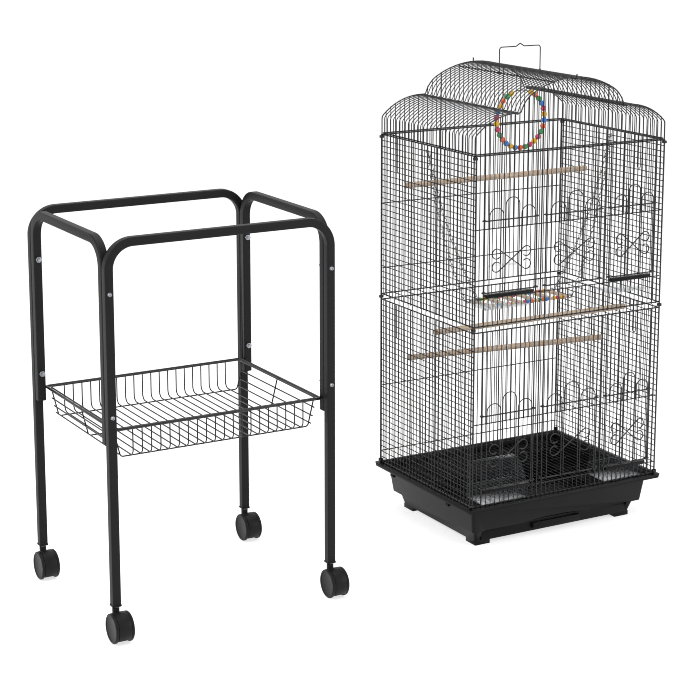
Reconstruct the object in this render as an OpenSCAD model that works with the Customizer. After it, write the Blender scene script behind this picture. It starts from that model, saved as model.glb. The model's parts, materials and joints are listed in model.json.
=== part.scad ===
// Wire bird cage with a domed roof, beside its rolling tube stand.
// Millimetres, +Z up, front towards -Y; the origin is on the floor under the middle of both.

/* [Cage] */
// Width of the wire walls
cage_w = 457; // [440:1:475]
// Depth of the wire walls
cage_d = 350; // [335:1:365]
// Height of the top of the walls above the floor
wall_top = 800; // [785:1:815]
// Height of the seam between the two rows of panels
seam_z = 457; // [445:1:470]
// Gap between the two rows of panels
seam_gap = 12; // [9:0.5:16]
// Diameter of the thin bars
bar_d = 1.8; // [1.4:0.1:2.2]
// Diameter of the frame wires
edge_d = 2.8; // [2.4:0.1:3.2]
// Number of gaps between the bars of a front panel
front_gaps = 41; // [41:1:41]
// Number of gaps between the bars of a side panel
side_gaps = 29; // [24:1:32]
// Spacing of the level wires of a side panel
mesh_pitch = 12; // [10:0.5:15]

/* [Roof] */
// Height of the two valleys
valley_z = 876; // [865:1:885]
// Distance of the valleys from the middle
valley_x = 124; // [115:1:130]
// Flat stretch outside each valley
valley_flat = 11; // [6:1:16]
// Slope of the roof above the side walls, degrees
knee_slope = 44; // [38:1:50]
// Radius of the bend above the side walls
knee_r = 12; // [8:1:16]
// Slope of the dome where it leaves the valley, degrees
dome_slope = 72; // [66:1:76]
// Slope of the dome at its shoulders, degrees
shoulder_slope = 30; // [26:1:34]
// Radius of the dome's shoulders
shoulder_r = 60; // [50:1:65]
// Number of gaps between the roof bars
roof_gaps = 30; // [24:1:32]
// Distance of the dome's rails from the middle
rail_x = 45; // [35:1:55]

/* [Doors] */
// Height of the sill of the lower door openings
lower_sill = 121; // [119:1:125]
// Height of the head of the lower door openings
lower_head = 265; // [255:1:275]
// Height of the sill of the upper door openings
upper_sill = 518; // [510:1:525]
// Height of the head of the upper door openings
upper_head = 655; // [645:1:665]
// Room between a door and the bars behind it
door_gap = 0.6; // [0.4:0.1:1]
// Height of a door's bottom bar above the sill
bar_rise = 12; // [10:1:14]
// Height of a door's stop bar above the head of its opening
stop_rise = 17; // [12:1:20]
// Height of the big arch above the stop bar
arch_rise = 43; // [38:1:48]
// Height of the small arches above the stop bar
side_arch_rise = 24; // [18:1:30]
// Travel of the lower doors
lower_travel = 108; // [80:1:110]
// Travel of the upper doors
upper_travel = 84; // [60:1:85]

/* [Base tub] */
// Width of the tub's flange
flange_w = 477; // [466:1:490]
// Depth of the tub's flange
flange_d = 370; // [358:1:382]
// Height of the flange's top
flange_z = 95; // [90:1:100]
// Thickness of the flange
flange_t = 8; // [6:1:10]
// How far the tub's side stands back from the flange's edge
flange_out = 23; // [20:1:26]
// Height of the step between the tub's upper and lower parts
step_z = 35; // [33:1:38]
// Wall of the tub
tub_wall = 2.5; // [2:0.1:3]
// Height of the feet
foot_h = 8; // [6:1:9]

/* [Stand] */
// Width of the stand over its tubes
stand_w = 450; // [430:1:470]
// Depth of the stand over its tubes
stand_d = 373; // [355:1:390]
// Height of the stand
stand_h = 722; // [700:1:740]
// Width of the square tube
tube = 16; // [14:0.5:18]
// Wall of the square tube
tube_wall = 1.2; // [1:0.1:1.6]
// Radius of the tube's edges
tube_edge = 2.5; // [2:0.1:3]
// Outer radius of the bends at the top corners
bend_r = 54; // [48:1:60]
// Gap between two tubes that are bolted together
tube_gap = 0.8; // [0.4:0.1:1.2]
// Height of the lower ends of the side frames
side_leg_z = 354; // [340:1:365]
// Height of the lower bolts
low_bolt_z = 407; // [400:1:414]
// Height of the upper bolts
high_bolt_z = 626; // [610:1:640]
// Diameter of the bolts
bolt_d = 5.8; // [4.8:0.1:6]

/* [Basket] */
// Height of the basket's rim
rim_z = 378; // [372:1:384]
// Depth of the basket
basket_h = 53; // [48:1:60]
// Diameter of the rim wire
rim_d = 5; // [4:0.2:6]
// Diameter of the basket wires
basket_d = 2.6; // [2.2:0.1:3]
// Spacing of the basket wires
basket_pitch = 18; // [14:1:24]

/* [Casters] */
// Diameter of the wheels
wheel_d = 54; // [50:1:56]
// Width over the two wheels
caster_w = 35; // [32:1:38]
// Distance of the axle behind the swivel axis
trail = 18; // [15:1:20]
// Height of the lower ends of the legs
leg_z = 64; // [62:1:68]

/* [Placement] */
// Distance between the middle of the stand and the middle of the cage
spacing = 786; // [760:1:900]
// How far the stand is in front of the cage
stand_forward = 35; // [0:1:80]

/* [Hidden] */

black = "#26262a";
gloss = "#1b1b1e";
steel = "#c4c6ca";
round_fn = 24;
arc_fn = 96;
// Gap between wires that are welded where they cross
weld = 0.03;
// Gap between a piece and the seat it rests on
seat = 0.3;

// Places of the stand and the cage in the common frame
caster_out = (caster_w - tube) / 2;
low_x = -stand_w / 2 - caster_out;
high_x = spacing + flange_w / 2;
hood_r = wheel_d / 2 + 0.3;
low_y = -stand_d / 2 + tube / 2 - trail - hood_r - stand_forward;
high_y = flange_d / 2;
stand_pos = [-(low_x + high_x) / 2, -stand_forward - (low_y + high_y) / 2, 0];
cage_pos = [spacing - (low_x + high_x) / 2, -(low_y + high_y) / 2, 0];

module on_stand() { translate(stand_pos) children(); }
module on_cage() { translate(cage_pos) children(); }

// ---------- wires ----------

function unit(v) = v / norm(v);
function turn(u, w) = acos(max(-1, min(1, unit(u) * unit(w))));
// Heights or places at a spacing, centred in a span
function evenly(low, high, pitch) =
    let(n = max(1, round((high - low) / pitch)))
    [for (i = [1 : n - 1]) low + (high - low) * i / n];

// Straight round wire from a to b
module rod(a, b, d) {
    v = b - a;
    translate(a)
        rotate([0, acos(v[2] / norm(v)), atan2(v[1], v[0])])
            cylinder(d = d, h = norm(v), $fn = round_fn);
}

// Round bend at corner c, from direction u to direction w
module bend(c, u, w, r, d) {
    a = turn(u, w);
    m = unit(w - (w * u) * u);
    n = cross(u, m);
    o = c - u * r * tan(a / 2) + m * r;
    multmatrix([[-m[0], u[0], n[0], o[0]], [-m[1], u[1], n[1], o[1]], [-m[2], u[2], n[2], o[2]]])
        rotate_extrude(angle = a, $fn = arc_fn)
            translate([r, 0]) circle(d = d, $fn = round_fn);
    // A slanted bend is joined to its straights by a ball a little thicker than the wire
    if (abs(a - 90) > 0.01)
        for (q = [c - u * r * tan(a / 2), c + w * r * tan(a / 2)])
            translate(q) sphere(d = d + 0.1, $fn = round_fn);
}

// Round wire through points p, with a bend of radius r[i] at each inner point
module bent_wire(p, r, d) {
    n = len(p) - 1;
    dir = [for (i = [0 : n - 1]) unit(p[i + 1] - p[i])];
    ang = [for (i = [0 : n]) i == 0 || i == n ? 90 : turn(dir[i - 1], dir[i])];
    cut = [for (i = [0 : n]) i == 0 || i == n ? 0 : r[i] * tan(ang[i] / 2)];
    slack = [for (a = ang) abs(a - 90) > 0.01 ? 0.05 : 0];
    for (i = [0 : n - 1])
        rod(p[i] + dir[i] * (cut[i] + slack[i]), p[i + 1] - dir[i] * (cut[i + 1] + slack[i + 1]), d);
    for (i = [1 : n - 1]) bend(p[i], dir[i - 1], dir[i], r[i], d);
}

// Points of a flat line through p, with each inner corner rounded to r[i] in steps of degrees
function rounded(p, r, step) = [
    p[0],
    for (i = [1 : len(p) - 2])
        let(u = unit(p[i] - p[i - 1]), w = unit(p[i + 1] - p[i]), a = turn(u, w),
            n = max(1, ceil(a / step)), m = unit(w - (w * u) * u), s = p[i] - u * r[i] * tan(a / 2))
        for (k = [0 : n]) s + r[i] * (u * sin(a * k / n) + m * (1 - cos(a * k / n))),
    p[len(p) - 1]
];
// Line q without points that repeat the one before
function distinct(q) = [for (i = [0 : len(q) - 1]) if (i == 0 || norm(q[i] - q[max(i, 1) - 1]) > 0.01) q[i]];
function left_of(v) = [-v[1], v[0]];
// Side direction at point i of line q, long enough to keep the width through a corner
function side_at(q, i) =
    let(n = len(q) - 1, a = unit(q[min(i + 1, n)] - q[min(i, n - 1)]), b = unit(q[max(i, 1)] - q[max(i - 1, 0)]),
        s = unit(left_of(a) + left_of(b)))
    s / max(0.5, s * left_of(a));
// Flat ribbon of width d along line q, as thick as it is wide
module ribbon(line, d) {
    q = distinct(line);
    n = len(q) - 1;
    linear_extrude(d, center = true)
        polygon(concat([for (i = [0 : n]) q[i] + side_at(q, i) * d / 2],
                       [for (i = [n : -1 : 0]) q[i] - side_at(q, i) * d / 2]));
}

// ---------- stand ----------

leg_x = (stand_w - tube) / 2;
leg_y = (stand_d - tube) / 2;
inner_leg_y = leg_y - tube - tube_gap;
side_span = stand_d - 2 * (tube + tube_gap);
bolt_heights = [low_bolt_z, high_bolt_z];

module rounded_square(size, r) {
    square([size - 2 * r, size], center = true);
    square([size, size - 2 * r], center = true);
    for (x = [-1, 1], y = [-1, 1])
        translate([x, y] * (size / 2 - r)) circle(r = r, $fn = round_fn);
}

module tube_section() {
    difference() {
        rounded_square(tube, tube_edge);
        rounded_square(tube - 2 * tube_wall, tube_edge - tube_wall);
    }
}

// Upside-down U of square tube in the XZ plane
module tube_arch(span, foot_z) {
    for (side = [0, 1]) mirror([side, 0, 0]) {
        translate([(span - tube) / 2, 0, foot_z])
            linear_extrude(stand_h - bend_r - foot_z) tube_section();
        translate([span / 2 - bend_r, 0, stand_h - bend_r])
            rotate([90, 0, 0])
                rotate_extrude(angle = 90, $fn = arc_fn)
                    translate([bend_r - tube / 2, 0]) tube_section();
    }
    translate([bend_r - span / 2, 0, stand_h - tube / 2])
        rotate([0, 90, 0])
            linear_extrude(span - 2 * bend_r) tube_section();
}

// Holes for the bolts at one height row each, along Y at every leg
module bolt_holes() {
    for (x = [-leg_x, leg_x], z = bolt_heights)
        translate([x, 0, z]) rotate([90, 0, 0])
            cylinder(d = bolt_d + 0.4, h = stand_d + 2, center = true, $fn = round_fn);
}

module cross_frame(side) {
    color(black) on_stand() difference() {
        translate([0, side * leg_y, 0]) tube_arch(stand_w, leg_z);
        bolt_holes();
    }
}

module side_frame(side) {
    color(black) on_stand() difference() {
        translate([side * leg_x, 0, 0]) rotate([0, 0, 90]) tube_arch(side_span, side_leg_z);
        bolt_holes();
        // Holes for the pegs of the basket's rim, in the inner wall only
        for (y = [-peg_y, peg_y])
            rod([side * (leg_x - tube), y, rim_z], [side * leg_x, y, rim_z], peg_d + 0.3);
    }
}

head_d = 9;
head_h = 3.2;
nut_h = 5;
touch = 0.1;
// Inner face of the side frames' legs, where the nuts sit
nut_face_y = inner_leg_y - tube / 2;

// At each bolt, with its head on the outside facing -Z
module at_bolts() {
    for (x = [-leg_x, leg_x], side = [0, 1], z = bolt_heights)
        mirror([0, side, 0]) translate([x, -stand_d / 2 - touch, z]) rotate([-90, 0, 0]) children();
}

module frame_bolts() {
    color(steel) on_stand() at_bolts() {
        reach = stand_d / 2 + 2 * touch - nut_face_y + nut_h + 3;
        difference() {
            union() {
                cylinder(d = bolt_d, h = reach, $fn = round_fn);
                translate([0, 0, -head_h]) cylinder(d1 = head_d * 0.62, d2 = head_d, h = head_h, $fn = round_fn);
            }
            translate([0, 0, -head_h - 1]) cylinder(d = 4, h = 3, $fn = 6);
        }
    }
}

module frame_nuts() {
    color(steel) on_stand() at_bolts() {
        translate([0, 0, stand_d / 2 + 2 * touch - nut_face_y]) difference() {
            cylinder(d = 11.5, h = nut_h, $fn = 6);
            translate([0, 0, -1]) cylinder(d = bolt_d + 0.1, h = nut_h + 2, $fn = round_fn);
        }
    }
}

// Rim of the basket, between the legs, held by a peg in a hole of each side frame's leg
rim_x = leg_x - tube / 2 - 1 - rim_d / 2;
rim_corner = 6;
peg_d = 4;
peg_y = inner_leg_y - 3;
rim_y = peg_y + rim_corner + 1;
inner_rim_d = 3;
u_step = rim_d / 2 + weld + basket_d / 2;
inner_step = rim_d / 2 + basket_d + 2 * weld + inner_rim_d / 2;
inner_corner = 5;

// Closed ring of round wire with rounded corners, in the XY plane
module wire_loop(x, y, r, d) {
    for (side = [-1, 1]) {
        rod([r - x, side * y, 0], [x - r, side * y, 0], d);
        rod([side * x, r - y, 0], [side * x, y - r, 0], d);
    }
    for (k = [0 : 3])
        translate([(k == 0 || k == 3 ? 1 : -1) * (x - r), (k < 2 ? 1 : -1) * (y - r), 0])
            rotate([0, 0, 90 * k])
                rotate_extrude(angle = 90, $fn = arc_fn) translate([r, 0]) circle(d = d, $fn = round_fn);
}

module basket_rim() {
    color(black) on_stand() {
        translate([0, 0, rim_z]) {
            wire_loop(rim_x, rim_y, rim_corner, rim_d);
            wire_loop(rim_x - inner_step / cos(end_tilt), rim_y - inner_step, inner_corner, inner_rim_d);
        }
        for (x = [-1, 1], y = [-1, 1])
            rod([x * (rim_x + rim_d / 2 + weld), y * peg_y, rim_z], [x * leg_x, y * peg_y, rim_z], peg_d);
    }
}

end_slant = 14;
floor_z = rim_z - basket_h;
u_bend = 12;
long_y = rim_y - u_step - u_bend - 3;
long_x = rim_x - u_step;
long_z = floor_z - basket_d - weld;
slant_end_x = long_x - end_slant;
end_tilt = atan(end_slant / (rim_z - long_z));
// Where a slanted end passes the rim on its inside
slant_top = [rim_x - u_step * cos(end_tilt), rim_z + u_step * sin(end_tilt)];
slant_run = (slant_top[0] - slant_end_x) / (slant_top[1] - long_z);

module basket_wires() {
    color(black) on_stand() {
        // Wires from rim to rim across the short way
        y = rim_y - u_step;
        for (x = evenly(-slant_end_x, slant_end_x, basket_pitch))
            bent_wire([[x, -y, rim_z + 1], [x, -y, floor_z], [x, y, floor_z], [x, y, rim_z + 1]],
                      [0, u_bend, u_bend, 0], basket_d);
        // Long wires under them, with slanted ends
        line = rounded([[-slant_top[0], slant_top[1]], [-slant_end_x, long_z],
                        [slant_end_x, long_z], slant_top], [0, 7, 7, 0], bend_step);
        for (y = [-long_y, 0, long_y]) translate([0, y, 0]) rotate([90, 0, 0]) ribbon(line, basket_d);
        // Rungs outside the slanted ends
        for (side = [-1, 1], t = [0.36, 0.64, 0.89]) {
            z = rim_z - t * (rim_z - long_z);
            x = slant_end_x + slant_run * (z - long_z) + basket_d + 0.12;
            rod([side * x, -long_y - 4, z], [side * x, long_y + 4, z], basket_d);
        }
    }
}

// ---------- casters ----------

plug_flange = 3;
plug_h = 24;
stem_d = 8;
boss_d = 13;
collar_h = 2.4;
boss_top = leg_z - plug_flange - collar_h - 0.6;
hood_w = 24;
hood_t = 2.2;
web_w = 6;
axle_d = 6;
running = 0.05;
leg_corners = [[-1, -1], [1, -1], [-1, 1], [1, 1]];

module at_leg(c) { on_stand() translate([c[0] * leg_x, c[1] * leg_y, 0]) children(); }

module leg_plugs() {
    color(gloss) for (c = leg_corners) at_leg(c) difference() {
        union() {
            translate([0, 0, leg_z - plug_flange - touch])
                linear_extrude(plug_flange) rounded_square(tube + 1.6, tube_edge);
            translate([0, 0, leg_z - plug_flange - touch])
                linear_extrude(plug_h) rounded_square(tube - 2 * tube_wall - 0.3, tube_edge - tube_wall);
        }
        translate([0, 0, leg_z - 10]) cylinder(d = stem_d + 2 * running, h = plug_h + 10, $fn = round_fn);
    }
}

module stem(c) {
    color(steel) at_leg(c) {
        translate([0, 0, boss_top - 9]) cylinder(d = stem_d, h = leg_z + plug_h - boss_top, $fn = round_fn);
        translate([0, 0, boss_top + touch]) cylinder(d = boss_d - 2, h = collar_h, $fn = round_fn);
    }
}

// Cylinder about the wheel axle, from x0 to x1
module about_axle(r, x0, x1) {
    translate([x0, -trail, wheel_d / 2]) rotate([0, 90, 0]) cylinder(r = r, h = x1 - x0, $fn = arc_fn);
}

module caster_body(c) {
    color(gloss) at_leg(c) difference() {
        union() {
            about_axle(hood_r, -hood_w / 2, hood_w / 2);
            translate([0, 0, boss_top - 14]) cylinder(d = boss_d, h = 14, $fn = 32);
        }
        for (side = [0, 1]) mirror([side, 0, 0])
            about_axle(hood_r - hood_t, web_w / 2, hood_w / 2 + 1);
        // Open below, with the web cut back between the wheels
        translate([-hood_w, -trail - wheel_d, -1]) cube([2 * hood_w, 2 * wheel_d, 9.5]);
        translate([-hood_w, -trail + 4, -1]) cube([2 * hood_w, wheel_d, wheel_d / 2 - 4]);
        about_axle(axle_d / 2 + running, -hood_w, hood_w);
        translate([0, 0, boss_top - 9 - touch]) cylinder(d = stem_d + 2 * running, h = 20, $fn = round_fn);
    }
}

module wheel_pair(c) {
    wheel_in = web_w / 2 + 0.6;
    color(gloss) at_leg(c) {
        for (side = [0, 1]) mirror([side, 0, 0]) difference() {
            union() {
                about_axle(hood_r - hood_t - 0.6, wheel_in, hood_w / 2 + 0.6);
                about_axle(wheel_d / 2, hood_w / 2 + 0.6, caster_w / 2 - 1.2);
                about_axle(wheel_d / 2 - 1.4, caster_w / 2 - 1.2, caster_w / 2);
            }
            about_axle(axle_d / 2 + running, 0, caster_w / 2 - 3);
            // Shallow dish in the outer face
            about_axle(wheel_d / 2 - 5, caster_w / 2 - 0.8, caster_w);
        }
        about_axle(axle_d / 2, 3.2 - caster_w / 2, caster_w / 2 - 3.2);
    }
}

// ---------- cage walls ----------

half_w = cage_w / 2;
half_d = cage_d / 2;
wall_foot = flange_z + seat;
edge_in = 2;
level_in = 3.1;
low_top = seam_z - seam_gap / 2;
high_foot = seam_z + seam_gap / 2;
level_d = 2.2;
thick_front_bars = [14, 28];
thick_side_bars = [11, 19];
guides = [[2, 13], [15, 27], [29, 39]];

function hundredth(v) = round(v * 100) / 100;
function bar_x(k) = hundredth(-half_w + k * cage_w / front_gaps);
function is_in(k, list) = len(search(k, list)) > 0;
function guide_bars() = [for (g = guides) each g];
function in_door(k) = len([for (g = guides) if (k > g[0] && k < g[1]) 1]) > 0;

// Upright wire outside the plane of a panel, and level wire inside it
module upright(x, z0, z1, d) { rod([x, -(d + weld) / 2, z0], [x, -(d + weld) / 2, z1], d); }
module level(z, reach, d) { rod([-reach, (d + weld) / 2, z], [reach, (d + weld) / 2, z], d); }

// The four wires round a panel; the edge wires of neighbours meet in the middle of the seam
module panel_frame(half, inset, z0, z1, post0, post1) {
    for (x = [-1, 1]) upright(x * (half - edge_in), post0, post1, edge_d);
    for (z = [z0, z1]) level(z, half - inset, edge_d);
}

module long_panel(lower, has_doors) {
    z0 = lower ? wall_foot + edge_d / 2 : high_foot;
    z1 = lower ? low_top : wall_top - edge_d / 2;
    post0 = lower ? wall_foot : seam_z + 0.1;
    post1 = lower ? seam_z - 0.1 : wall_top;
    sill = lower ? lower_sill : upper_sill;
    head = lower ? lower_head : upper_head;
    panel_frame(half_w, level_in, z0, z1, post0, post1);
    for (z = [sill, head]) level(z, half_w - level_in, level_d);
    for (k = [1 : front_gaps - 1]) {
        d = is_in(k, thick_front_bars) || (has_doors && is_in(k, guide_bars())) ? edge_d : bar_d;
        if (has_doors && in_door(k)) {
            upright(bar_x(k), z0 - edge_d / 2, sill + level_d / 2, bar_d);
            upright(bar_x(k), head - level_d / 2, z1 + edge_d / 2, bar_d);
        } else upright(bar_x(k), z0 - edge_d / 2, z1 + edge_d / 2, d);
    }
}

// Side panels are square mesh; flip puts bar 0 at the front on either side
module side_panel(lower, flip) {
    z0 = lower ? wall_foot + edge_d / 2 : high_foot;
    z1 = lower ? low_top : wall_top - edge_d / 2;
    post0 = lower ? wall_foot : seam_z + 0.1;
    post1 = lower ? seam_z - 0.1 : wall_top;
    panel_frame(half_d, 0.6, z0, z1, post0, post1);
    for (z = evenly(z0, z1, mesh_pitch)) level(z, half_d - 0.6, bar_d);
    for (k = [1 : side_gaps - 1])
        upright(flip * (half_d - k * cage_d / side_gaps), z0 - edge_d / 2, z1 + edge_d / 2,
                is_in(k, thick_side_bars) ? edge_d : bar_d);
}

module at_front() { on_cage() translate([0, -half_d, 0]) children(); }
module at_back() { on_cage() translate([0, half_d, 0]) rotate([0, 0, 180]) children(); }
module at_left() { on_cage() translate([-half_w, 0, 0]) rotate([0, 0, -90]) children(); }
module at_right() { on_cage() translate([half_w, 0, 0]) rotate([0, 0, 90]) children(); }

// ---------- roof ----------

flat_x = valley_x + valley_flat;
knee_cut = knee_r * tan((90 - knee_slope) / 2);
slope_len = (half_w - flat_x + knee_cut) / (1 + cos(knee_slope));
knee_z = valley_z - slope_len * sin(knee_slope);
brow_x = half_w - slope_len * cos(knee_slope);
brow_r = (slope_len - knee_cut) / tan(knee_slope / 2);
crease_r = 4;
dome_cut = crease_r * tan(dome_slope / 2) + shoulder_r * tan((dome_slope - shoulder_slope) / 2);
shoulder_x = valley_x - dome_cut * cos(dome_slope);
shoulder_z = valley_z + dome_cut * sin(dome_slope);
crown_z = shoulder_z + shoulder_x * tan(shoulder_slope);
crown_r = (shoulder_x / cos(shoulder_slope) - shoulder_r * tan((dome_slope - shoulder_slope) / 2))
    / tan(shoulder_slope);
crown_top = crown_z - crown_r * (1 / cos(shoulder_slope) - 1);
roof_foot = wall_top + seat;
bend_step = 7;

// Centre line of a roof bar, from the left wall to the right
half_line = [[half_w, roof_foot], [half_w, knee_z], [brow_x, valley_z], [valley_x, valley_z],
             [shoulder_x, shoulder_z]];
half_bends = [0, knee_r, brow_r, crease_r, shoulder_r];
roof_line = rounded(concat([for (q = half_line) [-q[0], q[1]]], [[0, crown_z]],
                           [for (i = [4 : -1 : 0]) half_line[i]]),
                    concat(half_bends, [crown_r], [for (i = [4 : -1 : 0]) half_bends[i]]), bend_step);

// Height of a roof bar's centre line at a distance from the middle
crown_reach = crown_r * sin(shoulder_slope);
shoulder_o = [(crown_r - shoulder_r) * sin(shoulder_slope),
              crown_top - crown_r + (crown_r - shoulder_r) * cos(shoulder_slope)];
shoulder_reach = shoulder_o[0] + shoulder_r * sin(dome_slope);
function on_arc(a, r, top) = top - r + sqrt(r * r - a * a);
function roof_z(x) = let(a = abs(x))
    a < crown_reach ? on_arc(a, crown_r, crown_top)
    : a < shoulder_reach ? on_arc(a - shoulder_o[0], shoulder_r, shoulder_o[1] + shoulder_r)
    : a < valley_x ? valley_z + (valley_x - a) * tan(dome_slope) * 0.9
    : a < flat_x ? valley_z : on_arc(a - flat_x, brow_r, valley_z);

module roof_bar(y, d) { translate([0, y, 0]) rotate([90, 0, 0]) ribbon(roof_line, d); }

end_bar_y = half_d - (edge_d + weld) / 2;
module roof_bars() {
    color(black) on_cage() {
        for (i = [1 : roof_gaps - 1]) roof_bar(i * cage_d / roof_gaps - half_d, bar_d);
        for (side = [-1, 1]) roof_bar(side * end_bar_y, edge_d);
    }
}

rail_reach = half_d - edge_d - 3 * weld;
// The bars' arcs are drawn in straight steps, which lie this much inside the arc
chord_sag = crown_r * (1 - cos(shoulder_slope / ceil(2 * shoulder_slope / bend_step)));
rail_sink = (bar_d + edge_d) / 2 + weld;
crown_sink = rail_sink + chord_sag;
ridge_z = crown_top - chord_sag - edge_d - weld;
ridge_end = half_d + 8;
module roof_rails() {
    tilt = asin(rail_x / crown_r);
    color(black) on_cage() {
        for (side = [-1, 1]) {
            for (q = [[half_w - rail_sink, roof_foot + edge_d / 2],
                      [valley_x + valley_flat / 2, valley_z - rail_sink],
                      [rail_x - crown_sink * sin(tilt), roof_z(rail_x) - crown_sink * cos(tilt)]])
                rod([side * q[0], -rail_reach, q[1]], [side * q[0], rail_reach, q[1]], edge_d);
        }
        z = hundredth(ridge_z);
        bent_wire([[0, -ridge_end, z + 10], [0, -ridge_end, z], [0, ridge_end, z], [0, ridge_end, z + 10]],
                  [0, 5, 5, 0], edge_d);
    }
}

module gable() {
    level(roof_foot + edge_d / 2, half_w - level_in, edge_d);
    for (k = [1 : front_gaps - 1])
        upright(bar_x(k), roof_foot, roof_z(bar_x(k)) + edge_d / 4, is_in(k, thick_front_bars) ? edge_d : bar_d);
}

module roof_gables() {
    color(black) {
        at_front() gable();
        at_back() gable();
    }
}

// ---------- clips, hooks and perches ----------

post_step = edge_in + (edge_d + weld) / 2;
clip_in = post_step / sqrt(2) + edge_d / 2 + 0.15;
clip_h = 4.6;
module corner_clips() {
    x = half_w - edge_in + post_step / 2;
    y = half_d - edge_in + post_step / 2;
    color(black) on_cage()
        for (sx = [-1, 1], sy = [-1, 1], z = [wall_foot + edge_d + 0.6, seam_z - clip_h / 2,
                                             wall_top - edge_d - 0.6 - clip_h])
            translate([sx * x, sy * y, z]) difference() {
                cylinder(r = clip_in + 1, h = clip_h, $fn = 32);
                translate([0, 0, -1]) cylinder(r = clip_in, h = clip_h + 2, $fn = 32);
            }
}

hook_len = 70;
hook_wide = 10;
left_hook_bar = 23;
right_hook_bar = 7;
module side_hook(k, flip, top) {
    y = -(bar_d + weld) - weld / 2 - bar_d / 2;
    x = flip * hundredth(half_d - k * cage_d / side_gaps);
    bent_wire([[x - hook_wide / 2, y, top], [x - hook_wide / 2, y, top - hook_len],
               [x + hook_wide / 2, y, top - hook_len], [x + hook_wide / 2, y, top]], [0, 4.5, 4.5, 0], bar_d);
}
module side_hooks() {
    color(black) {
        for (top = [low_top, wall_top - edge_d / 2]) {
            at_left() side_hook(left_hook_bar, 1, top);
            at_right() side_hook(right_hook_bar, -1, top);
        }
    }
}

perch_d = 12;
// Left and right end of each perch, as distance to the back and height
perch_places = [[[84, 705], [84, 705]], [[-30, 423], [-61, 431]], [[70, 348], [13, 348]]];
perch_reach = half_w - bar_d - weld / 2 - 0.2;
module perches() {
    color("#cdb38b") on_cage() for (q = perch_places) {
        lean = norm(q[1] - q[0]) / (2 * perch_reach);
        reach = perch_reach - perch_d / 2 * lean;
        rod([-reach, q[0][0], q[0][1]], [reach, q[1][0], q[1][1]], perch_d);
    }
}

// ---------- base tub ----------

flange_r = 6;
body_top = [flange_w - 2 * flange_out, flange_d - 2 * flange_out];
body_foot = body_top - [11, 12];
step_in = 10;
lower_top = body_foot - [2 * step_in, 2 * step_in];
lower_foot = lower_top - [16, 17];
undercut_z = flange_z - flange_t;
undercut_h = 9;
grate_seat_z = 83;
grate_ledge = 4;
bay_w = 363;
bay_h = 25.5;
tub_floor = 2.5;
foot_size = 35;
bay_z = foot_h + tub_floor;
drop_w = bay_w - 12;
drop_d = lower_foot[1] - 36;

// Solid with rounded corners that tapers from size a at z0 to size b at z1
module taper(a, z0, b, z1, r) {
    hull() for (q = [[a, z0], [b, z1 - 0.01]], x = [-1, 1], y = [-1, 1])
        translate([x * (q[0][0] / 2 - r), y * (q[0][1] / 2 - r), q[1]]) cylinder(r = r, h = 0.01, $fn = 24);
}

module base_tub() {
    color(gloss) on_cage() {
        difference() {
            union() {
                taper([flange_w - 3, flange_d - 3], undercut_z, [flange_w, flange_d], flange_z, flange_r);
                taper(body_top, undercut_z - undercut_h, [flange_w - 3, flange_d - 3], undercut_z + 0.01, flange_r);
                taper(body_foot, step_z, body_top, undercut_z - undercut_h + 0.01, flange_r);
                taper(lower_foot, foot_h, lower_top, step_z + 0.01, flange_r);
            }
            taper(body_foot - [1, 1] * 2 * tub_wall, step_z + tub_floor, body_top - [1, 1] * 2 * tub_wall,
                  flange_z + 1, flange_r - tub_wall);
            translate([0, 0, (grate_seat_z + flange_z + 1) / 2])
                cube([body_top[0] + 2 * grate_ledge, body_top[1] + 2 * grate_ledge, flange_z + 1 - grate_seat_z],
                     center = true);
            // Bay of the drawer, open to the front
            translate([-bay_w / 2, -half_d, bay_z]) cube([bay_w, half_d + 128, bay_h]);
            // Opening from the grate down into the drawer
            translate([-drop_w / 2, -drop_d / 2, bay_z + bay_h - 1])
                cube([drop_w, drop_d, step_z + tub_floor + 2 - bay_z - bay_h]);
            // Shallow finger arch over the drawer's handle
            translate([-12, -half_d + 5, step_z - 640]) rotate([90, 0, 0])
                cylinder(r = 646, h = 60, center = true, $fn = 720);
        }
        for (x = [-1, 1], y = [-1, 1])
            translate([x * (lower_foot[0] - foot_size) / 2, y * (lower_foot[1] - foot_size) / 2, (foot_h + 1) / 2])
                cube([foot_size, foot_size, foot_h + 1], center = true);
    }
}

clip_places = [140, -75];
clip_out = 6;
module base_clips() {
    x0 = body_top[0] / 2 + 0.3;
    z0 = undercut_z - undercut_h - 7.4;
    color(gloss) on_cage() for (side = [0, 1], y = clip_places) mirror([side, 0, 0]) {
        translate([-x0 - clip_out, y - 6, z0]) difference() {
            cube([clip_out, 12, 7]);
            translate([-1, 6, 3.6]) rotate([0, 90, 0]) cylinder(d = 4.2, h = 5, $fn = round_fn);
        }
        translate([-x0 - clip_out - 0.8, y, z0 + 3.6]) rotate([0, 90, 0])
            cylinder(d = 4, h = 4.7, $fn = round_fn);
    }
}

grate_x = body_top[0] / 2 + grate_ledge - 1;
grate_y = body_top[1] / 2 + grate_ledge - 1;
grate_pitch = 12;
module grate() {
    z = grate_seat_z + seat + edge_d / 2;
    top = z + (edge_d + bar_d) / 2 + weld;
    color(black) on_cage() {
        for (k = [-2.5 : 1 : 2.5])
            rod([-grate_x, k * (2 * grate_y - edge_d) / 5, z], [grate_x, k * (2 * grate_y - edge_d) / 5, z], edge_d);
        for (x = concat([-grate_x + 2, grate_x - 2], evenly(-grate_x + 2, grate_x - 2, grate_pitch)))
            rod([x, -grate_y, top], [x, grate_y, top], bar_d);
    }
}

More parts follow.
